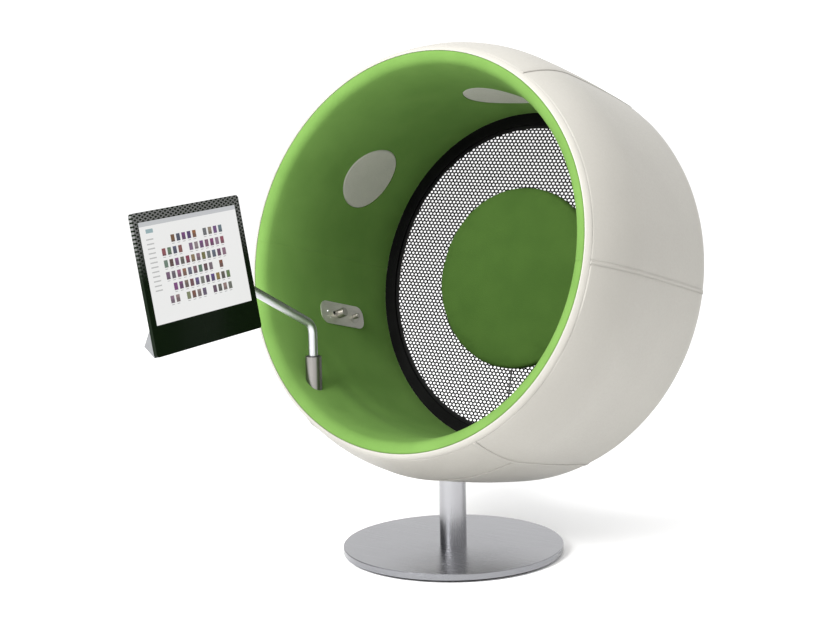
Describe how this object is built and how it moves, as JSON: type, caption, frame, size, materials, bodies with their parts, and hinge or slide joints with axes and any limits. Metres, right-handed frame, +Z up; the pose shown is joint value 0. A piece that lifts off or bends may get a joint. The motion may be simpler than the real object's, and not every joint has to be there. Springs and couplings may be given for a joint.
{
  "type": "pod lounge chair",
  "caption": "Upholstered round pod chair with a netted back, wall speakers, a control plate and a screen on a bent arm, turning on a steel column and disc base.",
  "frame": {"origin": "on the floor, on the column's centre line, at the middle of the disc base", "axes": "+Z up, -Y the way the pod's opening faces at rest, +X to the right of somebody looking along +Y into the opening"},
  "size_m": [1.2528, 1.4881, 1.4671],
  "materials": {
    "cover_leather": "satin",
    "lining_cloth": "matt felt",
    "cushion_cloth": "matt felt",
    "grille_cloth": "matt",
    "ring_black": "matt",
    "net_black": "matt",
    "base_steel": "brushed",
    "column_steel": "brushed",
    "inner_steel": "satin",
    "foot_rubber": "matt",
    "bearing_plastic": "matt",
    "shell_laminate": "matt",
    "foam": "open cell",
    "speaker_black": "matt",
    "plate_steel": "brushed",
    "knob_steel": "turned",
    "jack_black": "gloss",
    "led_white": "clear",
    "socket_steel": "brushed",
    "arm_alloy": "satin",
    "screen_black": "gloss",
    "screen_face": "lit",
    "screen_silver": "satin",
    "tray_silver": "satin",
    "lead_black": "matt",
    "amplifier_black": "matt"
  },
  "bodies": {
    "base": {"base_plate": "base_steel", "foot_ring_1": "foot_rubber", "foot_ring_2": "foot_rubber", "foot_ring_3": "foot_rubber", "column_tube": "column_steel", "lower_bush": "bearing_plastic", "upper_bush": "bearing_plastic"},
    "pod": {"amplifier": "amplifier_black", "arm_bush": "bearing_plastic", "arm_socket": "socket_steel", "back_bulkhead": "shell_laminate", "back_cushion": "cushion_cloth", "back_net": "net_black", "back_ring": "ring_black", "back_trim": "cover_leather", "control_box": "speaker_black", "control_plate": "plate_steel", "cover_bottom_front": "cover_leather", "cover_bottom_rear": "cover_leather", "cover_lower_left": "cover_leather", "cover_lower_right": "cover_leather", "cover_seams": "cover_leather", "cover_top": "cover_leather", "cover_upper_left": "cover_leather", "cover_upper_right": "cover_leather", "cushion_clamp": "ring_black", "driver_left": "speaker_black", "driver_right": "speaker_black", "driver_top": "speaker_black", "exciter": "speaker_black", "exciter_lead": "lead_black", "foam_lower": "foam", "foam_upper": "foam", "headphone_jack": "jack_black", "indicator_leds": "led_white", "inner_shell": "shell_laminate", "knob_bushes": "bearing_plastic", "lining_lower": "lining_cloth", "lining_upper": "lining_cloth", "outer_shell": "shell_laminate", "pod_ribs": "shell_laminate", "rim_frame": "shell_laminate", "rim_lip": "lining_cloth", "rim_welt": "cover_leather", "socket_flange": "inner_steel", "speaker_cover_left": "grille_cloth", "speaker_cover_right": "grille_cloth", "speaker_cover_top": "grille_cloth", "swivel_spindle": "inner_steel"},
    "arm": {"arm_tube": "arm_alloy"},
    "head": {"screen_head": "arm_alloy", "head_cap": "arm_alloy"},
    "screen": {"screen_bezel": "screen_black", "screen_panel": "screen_face", "screen_back": "screen_silver", "screen_tray": "tray_silver", "screen_cradle": "tray_silver"},
    "volume": {"volume_knob": "knob_steel"},
    "selector": {"selector_knob": "knob_steel"}
  },
  "joints": [
    {"name": "pod_swivel", "type": "hinge", "parent": "base", "child": "pod", "pos_m": [0, 0, 0.226], "axis": [0, 0, 1], "continuous": true},
    {"name": "arm_swing", "type": "hinge", "parent": "pod", "child": "arm", "pos_m": [-0.333, -0.213, 0.55], "axis": [0, 0, 1], "range_deg": [-12, 50]},
    {"name": "head_swivel", "type": "hinge", "parent": "arm", "child": "head", "pos_m": [-0.42134, -0.53126, 0.90896], "axis": [0, 0, 1], "range_deg": [-25, 8]},
    {"name": "screen_tilt", "type": "hinge", "parent": "head", "child": "screen", "pos_m": [-0.40322, -0.69024, 0.90896], "axis": [-0.1132, 0.9936, 0], "range_deg": [-12, 8]},
    {"name": "volume_turn", "type": "hinge", "parent": "pod", "child": "volume", "pos_m": [-0.46767, 0.0756, 0.65721], "axis": [0.9391, 0.0849, 0.333], "range_deg": [-135, 135]},
    {"name": "selector_turn", "type": "hinge", "parent": "pod", "child": "selector", "pos_m": [-0.46767, 0.14827, 0.63869], "axis": [0.9391, 0.0849, 0.333], "range_deg": [-90, 90]}
  ]
}
